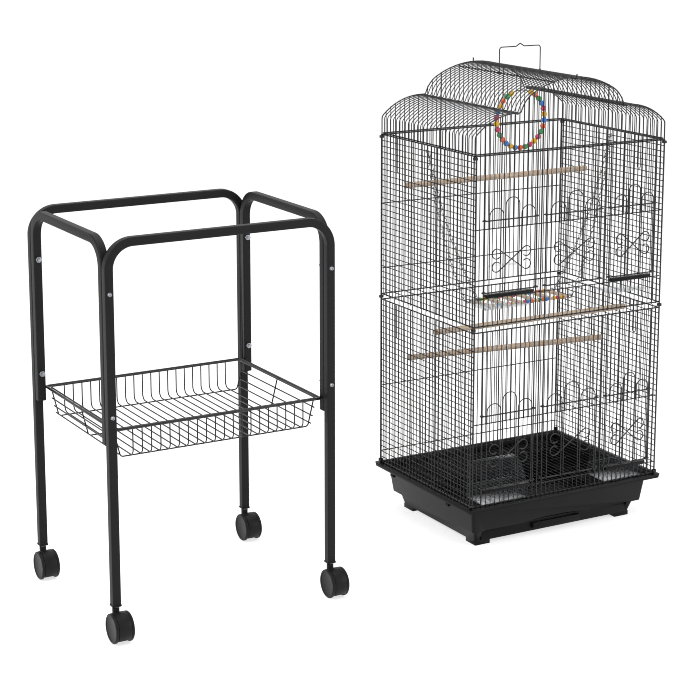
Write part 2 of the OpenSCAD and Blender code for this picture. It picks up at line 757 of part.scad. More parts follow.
drawer_w = bay_w - 1.6;
drawer_h = bay_h - 3.5;
drawer_back = 126;
drawer_wall = 2;
drawer_z = bay_z + seat;
drawer_front_y = -(lower_foot[1] + (lower_top[1] - lower_foot[1]) * 0.45) / 2;
pull_w = 117;
pull_h = 12;
module drawer() {
    color(gloss) on_cage() {
        difference() {
            translate([-drawer_w / 2, drawer_front_y, drawer_z]) cube([drawer_w, drawer_back - drawer_front_y, drawer_h]);
            translate([-drawer_w / 2 + drawer_wall, drawer_front_y + 3, drawer_z + drawer_wall])
                cube([drawer_w - 2 * drawer_wall, drawer_back - drawer_front_y - 3 - drawer_wall, drawer_h]);
        }
        translate([-pull_w / 2, drawer_front_y - 8, drawer_z + (drawer_h - pull_h) / 2]) difference() {
            cube([pull_w, 9, pull_h]);
            translate([3, 4, -1]) cube([pull_w - 6, 3, pull_h - 1]);
        }
    }
}

// ---------- doors ----------

guide_y = -half_d - (edge_d + weld) / 2;
door_y = guide_y - edge_d - door_gap;
arch_d = 2;
arch_y = door_y - (edge_d + arch_d) / 2 - weld;
scroll_y = arch_y + arch_d + weld;
eye_r = guide_y - door_y;
door_in = 7;
stage = [[lower_sill, lower_head], [upper_sill, upper_head]];

// Level bar of a door, with its ends curled round the two guide bars
module eye_bar(x0, x1, z) {
    back_y = guide_y + eye_r;
    r = eye_r - 0.2;
    bent_wire([[x0 + eye_r, guide_y, z], [x0 + eye_r, back_y, z], [x0 - eye_r, back_y, z], [x0 - eye_r, door_y, z],
               [x1 + eye_r, door_y, z], [x1 + eye_r, back_y, z], [x1 - eye_r, back_y, z], [x1 - eye_r, guide_y, z]],
              [0, r, r, r, r, r, r, 0], edge_d);
}

// Upside-down U of wire from x0 to x1
module arch(x0, x1, foot, top) {
    bent_wire([[x0, arch_y, foot], [x0, arch_y, top], [x1, arch_y, top], [x1, arch_y, foot]],
              [0, 1, 1, 0] * hundredth((x1 - x0) / 2 - 1), arch_d);
}

// S-shaped scroll through the origin, with a curl of radius r about [-a, b] and its mirror point
function scroll(a, b, r) =
    let(t = 90 - atan(b / a) - asin(r / norm([a, b])),
        curl = [for (k = [0 : 12]) let(q = t + 260 - 260 * k / 12) [-a + r * cos(q), b + r * sin(q)]])
    concat(curl, [for (k = [12 : -1 : 0]) -curl[k]]);

module door(column, row) {
    g0 = bar_x(guides[column][0]);
    g1 = bar_x(guides[column][1]);
    e0 = hundredth(g0 + door_in + arch_d / 2);
    e1 = hundredth(g1 - door_in - arch_d / 2);
    w = e1 - e0;
    foot = stage[row][0] + bar_rise;
    stop = stage[row][1] + stop_rise;
    color(black) on_cage() {
        eye_bar(g0, g1, foot);
        eye_bar(g0, g1, stop);
        arch(e0, hundredth(e0 + 0.3 * w), foot - edge_d / 2, stop + side_arch_rise);
        arch(hundredth(e0 + 0.35 * w), hundredth(e1 - 0.35 * w), foot - edge_d / 2, stop + arch_rise);
        arch(hundredth(e1 - 0.3 * w), e1, foot - edge_d / 2, stop + side_arch_rise);
        translate([(e0 + e1) / 2, scroll_y, (foot + stage[row][1]) / 2]) rotate([90, 0, 0])
            for (flip = [-1, 1])
                ribbon([for (q = scroll(w * 0.33, 13, 10)) [q[0], flip * q[1]]], 1.7);
    }
}

// ---------- feeder cups ----------

cup_wall = 2;
cup_depth = 27;
cup_out = 0.3;
cup_front = -half_d + edge_d + cup_out;
cup_back = -half_d + 63;
ledge_h = 5.5;
ledge_in = 5.6;
hood_rise = 50;
cup_travel = 38;

module ledge(column, row) {
    g0 = bar_x(guides[column][0]) + ledge_in;
    g1 = bar_x(guides[column][1]) - ledge_in;
    color(gloss) on_cage()
        translate([g0, guide_y - edge_d / 2 - 0.3, stage[row][0] + edge_d / 2 + seat])
            cube([g1 - g0, cup_front + 4 - guide_y + edge_d / 2, ledge_h]);
}

// Clear cup under the ledge, with a quarter-round hood over it that is open to the inside
module cup(column, row) {
    x0 = bar_x(guides[column][0]) + door_in + 1;
    w = bar_x(guides[column][1]) - door_in - 1 - x0;
    sill = stage[row][0];
    rim = sill + edge_d / 2 + seat - touch;
    hood_front = cup_front + 4 + touch;
    color([0.85, 0.88, 0.9, 0.4]) on_cage() translate([x0, 0, 0]) {
        difference() {
            translate([0, cup_front, rim - cup_depth]) cube([w, cup_back - cup_front, cup_depth]);
            translate([cup_wall, cup_front + cup_wall, rim - cup_depth + cup_wall])
                cube([w - 2 * cup_wall, cup_back - cup_front - 2 * cup_wall, cup_depth]);
        }
        difference() {
            intersection() {
                translate([0, hood_front + hood_rise, rim]) rotate([0, 90, 0])
                    cylinder(r = hood_rise, h = w, $fn = arc_fn);
                translate([0, hood_front, rim - 1]) cube([w, hood_rise, hood_rise + 2]);
            }
            translate([cup_wall, hood_front + hood_rise, rim]) rotate([0, 90, 0])
                cylinder(r = hood_rise - cup_wall, h = w - 2 * cup_wall, $fn = arc_fn);
        }
    }
}

// ---------- handle ----------

handle_d = 2.2;
handle_half = 50;
handle_bar = 16;
handle_rise = 45;
handle_y = handle_bar * cage_d / roof_gaps - half_d;
handle_eye_r = 2.9;
pivot_z = hundredth(roof_z(handle_half));
module handle() {
    top = hundredth(crown_top + handle_rise);
    foot = pivot_z + handle_eye_r;
    color(black) on_cage() translate([0, handle_y, 0]) {
        bent_wire([[-handle_half, 0, foot], [-handle_half, 0, top], [-10, 0, top], [0, 0, top + 6],
                   [10, 0, top], [handle_half, 0, top], [handle_half, 0, foot]],
                  [0, 6, 4, 3, 4, 6, 0], handle_d);
        for (x = [-handle_half, handle_half]) {
            translate([x, 0, pivot_z]) rotate([0, 90, 0]) rotate_extrude($fn = arc_fn)
                translate([handle_eye_r, 0]) circle(d = handle_d, $fn = round_fn);
            translate([x, 0, foot]) sphere(d = handle_d + 0.4, $fn = round_fn);
        }
    }
}

// ---------- ring swing ----------

ring_r = 59;
ring_z = 835;
ring_y = cage_d / roof_gaps / 2;
ring_d = 2;
bead_d = 11;
bead_bore = 2.9;
bead_count = 27;
bead_step = 12;
bead_colours = ["#e8c52a", "#2f9e44", "#e8692a", "#2d6fd0", "#c2274f"];
ring_order = [0, 1, 2, 0, 3, 4, 0, 4, 1, 2, 3, 0, 3, 2, 1, 4, 0, 4, 1, 2, 3, 0, 4, 3, 1, 2, 0];
hook_d = 1.8;
hook_reach = edge_d / 2 + 0.4 + hook_d / 2;
module bead(d, bore) {
    difference() {
        sphere(d = d, $fn = 32);
        cylinder(d = bore, h = d + 1, center = true, $fn = round_fn);
    }
}

module ring_wire() {
    zr = hundredth(ridge_z);
    color(steel) on_cage() translate([0, ring_y, 0]) {
        translate([0, 0, ring_z]) rotate([90, 0, 0]) rotate_extrude($fn = arc_fn)
            translate([ring_r, 0]) circle(d = ring_d, $fn = round_fn);
        translate([0, 0, ring_z + ring_r]) sphere(d = ring_d + 1, $fn = round_fn);
        bent_wire([[0, 0, ring_z + ring_r], [0, 0, zr - 16], [hook_reach, 0, zr - 10], [hook_reach, 0, zr + hook_reach],
                   [-hook_reach, 0, zr + hook_reach], [-hook_reach, 0, zr - 5]],
                  [0, 3, 3, hook_reach - 0.1, hook_reach - 0.1, 0], hook_d);
    }
}

module ring_beads() {
    on_cage() translate([0, ring_y, ring_z])
        for (i = [0 : bead_count - 1])
            rotate([0, -90 - (360 - (bead_count - 1) * bead_step) / 2 - i * bead_step, 0])
                translate([ring_r, 0, 0]) color(bead_colours[ring_order[i]]) bead(bead_d, bead_bore);
}

// ---------- hanging bridge ----------

bridge_z = 461;
slat = [10, 72, 5];
slat_count = 6;
deck_bead_d = 9;
group = 3;
group_gap = group * (deck_bead_d + 0.2);
slat_pitch = slat[0] + group_gap;
deck_half = (slat_count * slat_pitch - group_gap) / 2;
wire_y = 32;
deck_wire_d = 2.2;
deck_bore = 2.8;
deck_eye_r = 4;
deck_eye_x = hundredth(deck_half + 3 + deck_eye_r);
hang_z = wall_top - edge_d / 2 - (wall_top - edge_d / 2 - high_foot)
    / round((wall_top - edge_d / 2 - high_foot) / mesh_pitch);
hang_x = half_w - (bar_d + weld) / 2;
hang_r = 2.6;
chain_d = 3;
chain_sag = 14;
front_order = [0, 3, 1, 2, 0, 4, 4, 3, 2, 1, 2, 3, 0, 4, 0];
back_order = [3, 1, 0, 4, 1, 2, 3, 2, 4, 0, 1, 3, 2, 4, 0];

module bridge_slats() {
    color("#c9ab80") on_cage() for (i = [0 : slat_count - 1])
        translate([(i - (slat_count - 1) / 2) * slat_pitch, 0, bridge_z]) difference() {
            cube(slat, center = true);
            for (side = [-1, 1]) translate([0, side * wire_y, 0]) rotate([0, 90, 0])
                cylinder(d = deck_bore, h = slat[0] + 2, center = true, $fn = round_fn);
        }
}

module bridge_beads() {
    on_cage() for (i = [0 : slat_count - 2], k = [0 : group - 1], side = [0, 1])
        translate([(i - (slat_count - 2) / 2) * slat_pitch + (k - (group - 1) / 2) * group_gap / group,
                   (2 * side - 1) * wire_y, bridge_z])
            color(bead_colours[(side == 0 ? front_order : back_order)[i * group + k]])
                rotate([0, 90, 0]) bead(deck_bead_d, deck_bore);
}

module bridge_wires() {
    inner = deck_eye_x - deck_eye_r;
    color(steel) on_cage() {
        for (y = [-wire_y, wire_y]) {
            rod([-inner, y, bridge_z], [inner, y, bridge_z], deck_wire_d);
            for (side = [-1, 1]) {
                translate([side * deck_eye_x, y, bridge_z]) rotate([90, 0, 0]) rotate_extrude($fn = arc_fn)
                    translate([deck_eye_r, 0]) circle(d = deck_wire_d, $fn = round_fn);
                translate([side * inner, y, bridge_z]) sphere(d = deck_wire_d + 0.5, $fn = round_fn);
            }
        }
        // Rings that hang on a level wire of each side wall
        for (side = [-1, 1]) translate([side * hang_x, 0, hang_z]) rotate([90, 0, 0]) rotate_extrude($fn = arc_fn)
            translate([hang_r, 0]) circle(d = bar_d, $fn = round_fn);
    }
}

// Chain from the deck to a ring, as a round bar on the chain's own curve
module chain(a, b, sag) {
    v = b - a;
    up = unit(cross(cross(v, [0, 0, 1]), v));
    half = norm(v) / 2;
    r = (half * half + sag * sag) / (2 * sag);
    o = (a + b) / 2 + up * (r - sag);
    e = unit(a - o);
    w = unit(v - (v * e) * e);
    n = cross(e, w);
    multmatrix([[e[0], w[0], n[0], o[0]], [e[1], w[1], n[1], o[1]], [e[2], w[2], n[2], o[2]]])
        rotate_extrude(angle = 2 * asin(half / r), $fn = 360) translate([r, 0]) circle(d = chain_d, $fn = round_fn);
}

module bridge_chains() {
    low_x = deck_eye_x + deck_eye_r + deck_wire_d / 2 + chain_d / 2 + 0.15;
    high_x = hang_x - hang_r - bar_d / 2 - 0.1;
    color(steel) on_cage() for (sx = [-1, 1], sy = [-1, 1])
        chain([sx * low_x, sy * wire_y, bridge_z], [sx * high_x, sy * 2.2, hang_z - 2], chain_sag);
}

// ---------- the parts ----------

cross_frame(-1);  // front_frame
cross_frame(1);  // back_frame
side_frame(-1);  // left_side_frame
side_frame(1);  // right_side_frame
frame_bolts();
frame_nuts();
basket_rim();
basket_wires();
leg_plugs();
caster_body(leg_corners[0]);  // caster_front_left
caster_body(leg_corners[1]);  // caster_front_right
caster_body(leg_corners[2]);  // caster_back_left
caster_body(leg_corners[3]);  // caster_back_right
stem(leg_corners[0]);  // stem_front_left
stem(leg_corners[1]);  // stem_front_right
stem(leg_corners[2]);  // stem_back_left
stem(leg_corners[3]);  // stem_back_right
wheel_pair(leg_corners[0]);  // wheels_front_left
wheel_pair(leg_corners[1]);  // wheels_front_right
wheel_pair(leg_corners[2]);  // wheels_back_left
wheel_pair(leg_corners[3]);  // wheels_back_right
base_tub();
base_clips();
grate();
drawer();
color(black) at_front() long_panel(true, true);  // front_lower
color(black) at_front() long_panel(false, true);  // front_upper
color(black) at_back() long_panel(true, false);  // back_lower
color(black) at_back() long_panel(false, false);  // back_upper
color(black) at_left() side_panel(true, 1);  // left_lower
color(black) at_left() side_panel(false, 1);  // left_upper
color(black) at_right() side_panel(true, -1);  // right_lower
color(black) at_right() side_panel(false, -1);  // right_upper
roof_bars();
roof_rails();
roof_gables();
corner_clips();
side_hooks();
perches();
door(0, 0);  // door_left_lower
door(1, 0);  // door_middle_lower
door(2, 0);  // door_right_lower
door(0, 1);  // door_left_upper
door(1, 1);  // door_middle_upper
door(2, 1);  // door_right_upper
cup(0, 0);  // cup_left_lower
cup(2, 0);  // cup_right_lower
cup(0, 1);  // cup_left_upper
cup(2, 1);  // cup_right_upper
ledge(0, 0);  // ledge_left_lower
ledge(2, 0);  // ledge_right_lower
ledge(0, 1);  // ledge_left_upper
ledge(2, 1);  // ledge_right_upper
handle();
ring_wire();
ring_beads();
bridge_slats();
bridge_beads();
bridge_wires();
bridge_chains();
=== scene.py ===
# %% [markdown]
# # Wire bird cage and its rolling stand
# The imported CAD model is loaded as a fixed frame: every solid is already at its place and size, in metres.
# This file adds what a solid can't say, which is the finish of each surface, soft edges, round wire in the
# roof, real chain links and painted beads. +Z is up and the doors face -Y.

# %% Load the frame
import json
import math

import bpy
from mathutils import Matrix, Vector


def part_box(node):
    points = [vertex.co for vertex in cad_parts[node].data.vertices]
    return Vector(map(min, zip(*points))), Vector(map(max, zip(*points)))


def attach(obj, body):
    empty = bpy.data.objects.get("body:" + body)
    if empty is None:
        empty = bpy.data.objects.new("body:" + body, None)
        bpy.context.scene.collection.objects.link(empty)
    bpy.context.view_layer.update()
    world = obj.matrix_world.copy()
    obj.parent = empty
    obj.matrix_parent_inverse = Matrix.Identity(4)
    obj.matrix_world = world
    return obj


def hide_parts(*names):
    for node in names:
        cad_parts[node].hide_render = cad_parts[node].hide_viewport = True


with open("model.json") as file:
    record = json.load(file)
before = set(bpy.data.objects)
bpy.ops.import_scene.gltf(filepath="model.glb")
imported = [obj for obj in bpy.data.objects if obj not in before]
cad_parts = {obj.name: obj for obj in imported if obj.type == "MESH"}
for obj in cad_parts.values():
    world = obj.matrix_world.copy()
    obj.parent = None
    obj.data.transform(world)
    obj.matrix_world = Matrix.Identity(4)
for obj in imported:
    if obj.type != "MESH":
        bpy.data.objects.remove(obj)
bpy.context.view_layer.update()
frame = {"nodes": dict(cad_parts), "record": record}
MM = 0.001

# %% [markdown]
# The stand and the cage each have a middle of their own. The stand's frames and the cage's tub are
# symmetrical, so the middle of their boxes gives both, and all new pieces are placed from there.

# %% The two middles
def middle_of(node):
    low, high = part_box(node)
    return (low + high) / 2

cage_x, cage_y = middle_of("base_tub").xy
print("middle of the cage", round(cage_x, 4), round(cage_y, 4))

def in_cage(x, y, z):
    """A place in the cage, given in millimetres from its middle, in metres."""
    return (cage_x + x * MM, cage_y + y * MM, z * MM)

# %% [markdown]
# ## Working as by hand
# An operator acts on all that is selected, so each step first deselects everything. `grab` picks one piece,
# and `settle` puts its place into its mesh, so that the object itself ends at the origin.

# %% Small helpers for selecting and finishing
def grab(*objects):
    bpy.ops.object.select_all(action="DESELECT")
    for item in objects:
        item.hide_viewport = False
        item.select_set(True)
    bpy.context.view_layer.objects.active = objects[0]

def settle(piece):
    grab(piece)
    bpy.ops.object.transform_apply(location=True, rotation=True, scale=True)
    return piece

def apply_all(piece):
    grab(piece)
    for modifier in list(piece.modifiers):
        bpy.ops.object.modifier_apply(modifier=modifier.name)
    return piece

def pick_faces(piece, wanted):
    """Selects the faces whose middle and normal satisfy `wanted`, and leaves edit mode on."""
    grab(piece)
    bpy.ops.object.mode_set(mode="EDIT")
    bpy.ops.mesh.select_mode(type="FACE")
    bpy.ops.mesh.select_all(action="DESELECT")
    bpy.ops.object.mode_set(mode="OBJECT")
    for face in piece.data.polygons:
        face.select = bool(wanted(face.center, face.normal))
    bpy.ops.object.mode_set(mode="EDIT")

def object_mode():
    bpy.ops.object.mode_set(mode="OBJECT")

def join(pieces, name):
    grab(*pieces)
    if len(pieces) > 1:
        bpy.ops.object.join()
    joined = bpy.context.object
    joined.name = joined.data.name = name
    return joined

# %% [markdown]
# ## Colours and nodes
# Colours are written as the hex values that one sees, and one function turns them into the linear values that
# Blender calculates with. A second small function adds any node with its settings and its links.

# %% Colour and node helpers
def linear(hex_colour):
    """An sRGB hex colour as linear red, green, blue and alpha."""
    values = [int(hex_colour[i:i + 2], 16) / 255 for i in (1, 3, 5)]
    return (*[v / 12.92 if v <= 0.04045 else ((v + 0.055) / 1.055) ** 2.4 for v in values], 1.0)

def add_node(tree, kind, sockets=None, **settings):
    """Adds a node. A socket's value is a number, a colour, or another node's output to link."""
    made = tree.nodes.new(kind)
    for name, value in settings.items():
        setattr(made, name, value)
    for name, value in (sockets or {}).items():
        if isinstance(value, bpy.types.NodeSocket):
            tree.links.new(value, made.inputs[name])
        else:
            made.inputs[name].default_value = value
    return made

def new_material(name):
    material = bpy.data.materials.new(name)
    material.use_nodes = True
    tree = material.node_tree
    tree.nodes.clear()
    output = add_node(tree, "ShaderNodeOutputMaterial")
    place = add_node(tree, "ShaderNodeTexCoord").outputs["Object"]
    return material, tree, output, place

def finish_surface(tree, output, sockets):
    shader = add_node(tree, "ShaderNodeBsdfPrincipled", sockets)
    tree.links.new(shader.outputs["BSDF"], output.inputs["Surface"])
    return shader

def colour_ramp(tree, factor, stops):
    """A ramp from a list of (position, hex colour)."""
    ramp = add_node(tree, "ShaderNodeValToRGB", {"Fac": factor})
    points = ramp.color_ramp.elements
    while len(points) < len(stops):
        points.new(0.5)
    for point, (position, colour) in zip(points, stops):
        point.position = position
        point.color = linear(colour)
    return ramp.outputs["Color"]

def per_metre(millimetres):
    """The texture scale at which one cell of a pattern is this many millimetres wide."""
    return 1000 / millimetres

# %% [markdown]
# ## Powder-coated steel tube
# The stand is square steel tube, sprayed with dry black powder and baked. The powder melts into a skin with a
# fine, even grain, and it is a little thinner and paler where it runs over an edge. A noise of 1.2 mm gives
# the grain as a bump, and a second, wide noise shifts the charcoal slightly along a tube.

# %% Powder coat
def powder_coat():
    material, tree, output, place = new_material("powder_coated_steel")
    grain = add_node(tree, "ShaderNodeTexNoise", {"Vector": place, "Scale": per_metre(1.2), "Detail": 3.0})
    cloud = add_node(tree, "ShaderNodeTexNoise", {"Vector": place, "Scale": per_metre(60), "Detail": 2.0})
    tone = colour_ramp(tree, cloud.outputs["Fac"], [(0.3, "#0e0e10"), (0.7, "#131315")])
    speckle = colour_ramp(tree, grain.outputs["Fac"], [(0.35, "#0a0a0b"), (0.65, "#1a1a1d")])
    colour = add_node(tree, "ShaderNodeMix", {"Factor": 0.45, "A": tone, "B": speckle}, data_type="RGBA")
    bump = add_node(tree, "ShaderNodeBump",
                    {"Strength": 0.25, "Distance": 0.12 * MM, "Height": grain.outputs["Fac"]})
    rough = add_node(tree, "ShaderNodeMapRange",
                     {"Value": grain.outputs["Fac"], "To Min": 0.4, "To Max": 0.54})
    finish_surface(tree, output,
                   {"Base Color": colour.outputs["Result"], "Roughness": rough.outputs["Result"],
                    "Specular IOR Level": 0.2, "Normal": bump.outputs["Normal"]})
    return material

# %% [markdown]
# ## Epoxy-coated wire
# The bars are drawn steel wire, welded and then dipped in black epoxy. The coat is smooth and slightly
# thicker and thinner along the wire, so its gloss wavers. It is nearly black. The grate's copy is darker and
# less shiny, which is painted shade for the inside of the tub where the grate lies.

# %% Epoxy coat
def epoxy_coat(name, low, high, reflect):
    material, tree, output, place = new_material(name)
    runs = add_node(tree, "ShaderNodeTexNoise", {"Vector": place, "Scale": per_metre(9), "Detail": 2.0})
    tone = colour_ramp(tree, runs.outputs["Fac"], [(0.3, low), (0.7, high)])
    bump = add_node(tree, "ShaderNodeBump",
                    {"Strength": 0.15, "Distance": 0.15 * MM, "Height": runs.outputs["Fac"]})
    rough = add_node(tree, "ShaderNodeMapRange",
                     {"Value": runs.outputs["Fac"], "To Min": 0.24, "To Max": 0.4})
    finish_surface(tree, output, {"Base Color": tone, "Roughness": rough.outputs["Result"],
                                  "Specular IOR Level": reflect, "Normal": bump.outputs["Normal"]})
    return material

# %% [markdown]
# ## Zinc and nickel plate
# Bolts, nuts and caster stems are zinc-plated: a cool mid grey with a faint crystal mottle. The chains, the
# bridge's wires and the ring's wire are nickel-plated: darker, a little warmer and smoother. Both keep a
# metal's default IOR.

# %% Plated metals
def plated(name, low, high, mottle_mm, rough_low, rough_high):
    material, tree, output, place = new_material(name)
    mottle = add_node(tree, "ShaderNodeTexVoronoi", {"Vector": place, "Scale": per_metre(mottle_mm)})
    tone = colour_ramp(tree, mottle.outputs["Distance"], [(0.1, low), (0.8, high)])
    rough = add_node(tree, "ShaderNodeMapRange",
                     {"Value": mottle.outputs["Distance"], "To Min": rough_low, "To Max": rough_high})
    finish_surface(tree, output, {"Base Color": tone, "Metallic": 1.0, "Roughness": rough.outputs["Result"]})
    return material

# %% [markdown]
# ## Moulded plastics
# The casters are moulded nylon with a fine spark-eroded texture and a soft gloss. The tub, the drawer and the
# ledges are polypropylene from a polished mould, glossier and with the faint waves that shrinking leaves.
# The cups are clear polystyrene, 2 mm thick. Seen straight through, such a thin wall almost vanishes, and
# seen edge on it is pale and shiny, so the wall's cover follows the angle. Wiping has clouded it slightly.

# %% Plastics
def moulded(name, low, high, texture_mm, depth_mm, rough_low, rough_high, reflect):
    material, tree, output, place = new_material(name)
    texture = add_node(tree, "ShaderNodeTexNoise",
                       {"Vector": place, "Scale": per_metre(texture_mm), "Detail": 4.0})
    wave = add_node(tree, "ShaderNodeTexNoise", {"Vector": place, "Scale": per_metre(45), "Detail": 1.0})
    tone = colour_ramp(tree, wave.outputs["Fac"], [(0.3, low), (0.7, high)])
    bump = add_node(tree, "ShaderNodeBump",
                    {"Strength": 0.3, "Distance": depth_mm * MM, "Height": texture.outputs["Fac"]})
    rough = add_node(tree, "ShaderNodeMapRange",
                     {"Value": texture.outputs["Fac"], "From Min": 0.3, "From Max": 0.7,
                      "To Min": rough_low, "To Max": rough_high})
    finish_surface(tree, output, {"Base Color": tone, "Roughness": rough.outputs["Result"],
                                  "Specular IOR Level": reflect, "Normal": bump.outputs["Normal"]})
    return material

def clear_plastic():
    material, tree, output, place = new_material("clear_polystyrene")
    cloud = add_node(tree, "ShaderNodeTexNoise", {"Vector": place, "Scale": per_metre(30), "Detail": 3.0})
    rough = add_node(tree, "ShaderNodeMapRange",
                     {"Value": cloud.outputs["Fac"], "From Min": 0.35, "From Max": 0.7,
                      "To Min": 0.03, "To Max": 0.1})
    tone = colour_ramp(tree, cloud.outputs["Fac"], [(0.3, "#e3e7ec"), (0.7, "#d2d7de")])
    edge_on = add_node(tree, "ShaderNodeLayerWeight", {"Blend": 0.4})
    body = add_node(tree, "ShaderNodeMapRange",
                    {"Value": edge_on.outputs["Facing"], "From Min": 0.45, "From Max": 0.95,
                     "To Min": 0.012, "To Max": 0.8}, interpolation_type="SMOOTHSTEP")
    finish_surface(tree, output, {"Base Color": tone, "Roughness": rough.outputs["Result"],
                                  "Alpha": body.outputs["Result"]})
    return material

# %% [markdown]
# ## Pine and painted beads
# Perches and slats are sanded pine. Growth lines run along the wood about 2.5 mm apart, so a noise is
# stretched along one axis: along X for the perches, along Y for the slats. The beads are turned wood, dipped
# in lacquer, which pools a little darker and shines under a clear coat.

# %% Wood and lacquer
def pine(name, along):
    material, tree, output, place = new_material(name)
    stretch = [1.0, 1.0, 1.0]
    stretch[along] = 0.05
    drawn = add_node(tree, "ShaderNodeMapping", {"Vector": place, "Scale": stretch}).outputs["Vector"]
    lines = add_node(tree, "ShaderNodeTexNoise", {"Vector": drawn, "Scale": per_metre(2.5), "Detail": 4.0,
                                                  "Distortion": 0.6})
    fibres = add_node(tree, "ShaderNodeTexNoise", {"Vector": drawn, "Scale": per_metre(0.6), "Detail": 2.0})
    tone = colour_ramp(tree, lines.outputs["Fac"], [(0.32, "#c3a68c"), (0.5, "#dec8b1"), (0.68, "#ead9c7")])
    fine = colour_ramp(tree, fibres.outputs["Fac"], [(0.35, "#cfb49b"), (0.65, "#ecdecd")])
    colour = add_node(tree, "ShaderNodeMix", {"Factor": 0.35, "A": tone, "B": fine}, data_type="RGBA")
    bump = add_node(tree, "ShaderNodeBump",
                    {"Strength": 0.4, "Distance": 0.15 * MM, "Height": fibres.outputs["Fac"]})
    finish_surface(tree, output, {"Base Color": colour.outputs["Result"], "Roughness": 0.62,
                                  "Specular IOR Level": 0.35, "Normal": bump.outputs["Normal"]})
    return material

def lacquer(name, hex_colour):
    material, tree, output, place = new_material("lacquered_bead_" + name)
    pool = add_node(tree, "ShaderNodeTexNoise", {"Vector": place, "Scale": per_metre(5), "Detail": 3.0})
    shade = add_node(tree, "ShaderNodeMapRange",
                     {"Value": pool.outputs["Fac"], "To Min": 0.78, "To Max": 1.12})
    colour = add_node(tree, "ShaderNodeVectorMath",
                      {0: linear(hex_colour)[:3], "Scale": shade.outputs["Result"]}, operation="SCALE")
    bump = add_node(tree, "ShaderNodeBump",
                    {"Strength": 0.2, "Distance": 0.1 * MM, "Height": pool.outputs["Fac"]})
    finish_surface(tree, output,
                   {"Base Color": colour.outputs["Vector"], "Roughness": 0.3, "Coat Weight": 0.5,
                    "Coat Roughness": 0.12, "Normal": bump.outputs["Normal"]})
    return material

# %% Make the finishes
powder = powder_coat()
epoxy = epoxy_coat("epoxy_coated_wire", "#0c0c0e", "#151517", 0.42)
# The grate's copy is darker and less shiny: painted shade for the inside of the tub, where the grate lies
grate_epoxy_painted_shade = epoxy_coat("epoxy_grate_painted_shade", "#060607", "#0c0c0d", 0.2)
zinc = plated("zinc_plated_steel", "#7f8287", "#a9abaf", 1.5, 0.24, 0.42)
nickel = plated("nickel_plated_wire", "#3f3f40", "#6e6e6c", 2.5, 0.18, 0.32)
nylon = moulded("moulded_nylon", "#0d0d0f", "#121214", 0.8, 0.05, 0.38, 0.52, 0.2)
gloss = moulded("moulded_polypropylene", "#08080a", "#0d0d0f", 1.6, 0.03, 0.3, 0.42, 0.14)
polystyrene = clear_plastic()
dowel_pine = pine("sanded_pine_dowel", 0)
slat_pine = pine("sanded_pine_slat", 1)
BEAD_COLOURS = {"yellow": "#f0bd1c", "green": "#1f9c4a", "orange": "#ee642a", "blue": "#2c80dc",
                "crimson": "#d42a5e"}
lacquers = {name: lacquer(name, colour) for name, colour in BEAD_COLOURS.items()}
print("finishes", len(bpy.data.materials))

# %% [markdown]
# ## Pieces that keep the CAD shape
# Most pieces are wire, tube or moulding whose solid already has the right shape, but its mesh is loose
# triangles with hard facets. A copy is merged, its sharp edges get a small bevel where the real edge is soft,
# and it is shaded smooth. The copy then stands for the solid and moves with the same body.

# %% Dress a copy of a solid
BODY_OF = {node: body for body, nodes in frame["record"]["behaviour"]["bodies"].items() for node in nodes}

def belongs(piece, node, material):
    """Gives a piece its finish and its body, and lets it stand for a solid."""
    piece.data.materials.clear()
    piece.data.materials.append(material)
    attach(piece, BODY_OF[node])
    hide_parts(node)
    return piece

MERGE_MM, FLAT_DEG, CORNER_DEG, SMOOTH_DEG = 0.004, 0.3, 40, 38

def dressed(node, material, edge_mm=0.0):
    piece = bpy.data.objects.new(node + "_finished", frame["nodes"][node].data.copy())
    bpy.context.scene.collection.objects.link(piece)
    grab(piece)
    bpy.ops.object.mode_set(mode="EDIT")
    bpy.ops.mesh.select_all(action="SELECT")
    bpy.ops.mesh.remove_doubles(threshold=MERGE_MM * MM)
    bpy.ops.mesh.dissolve_limited(angle_limit=math.radians(FLAT_DEG))
    object_mode()
    if edge_mm:
        soft = piece.modifiers.new("soft edge", "BEVEL")
        soft.width = edge_mm * MM
        soft.segments = 2
        soft.limit_method = "ANGLE"
        soft.angle_limit = math.radians(CORNER_DEG)
        apply_all(piece)
    grab(piece)
    bpy.ops.object.shade_smooth_by_angle(angle=math.radians(SMOOTH_DEG))
    return belongs(piece, node, material)

# %% Tubes, wires and mouldings
CORNERS = ("front_left", "front_right", "back_left", "back_right")
for node in ("front_frame", "back_frame", "left_side_frame", "right_side_frame"):
    dressed(node, powder)
# The grate gets the darker epoxy, painted shade for the inside of the tub
dressed("grate", grate_epoxy_painted_shade)
for node in ("basket_rim", "roof_rails", "roof_gables", "corner_clips", "side_hooks", "handle"):
    dressed(node, epoxy)
for side in ("front", "back", "left", "right"):
    for row in ("lower", "upper"):
        dressed(f"{side}_{row}", epoxy)
for row in ("lower", "upper"):
    for column in ("left", "middle", "right"):
        dressed(f"door_{column}_{row}", epoxy)
    for column in ("left", "right"):
        dressed(f"cup_{column}_{row}", polystyrene, 0.5)
        dressed(f"ledge_{column}_{row}", gloss, 0.6)
dressed("frame_bolts", zinc, 0.3)
dressed("frame_nuts", zinc, 0.4)
dressed("leg_plugs", nylon, 0.5)
for corner in CORNERS:
    dressed("caster_" + corner, nylon, 0.6)
    dressed("stem_" + corner, zinc, 0.5)
    dressed("wheels_" + corner, nylon, 0.7)
dressed("base_clips", gloss, 0.5)
dressed("base_tub", gloss, 0.8)
dressed("drawer", gloss, 0.6)
dressed("perches", dowel_pine, 1.0)
dressed("bridge_slats", slat_pine, 0.6)
dressed("bridge_wires", nickel)
dressed("ring_wire", nickel)

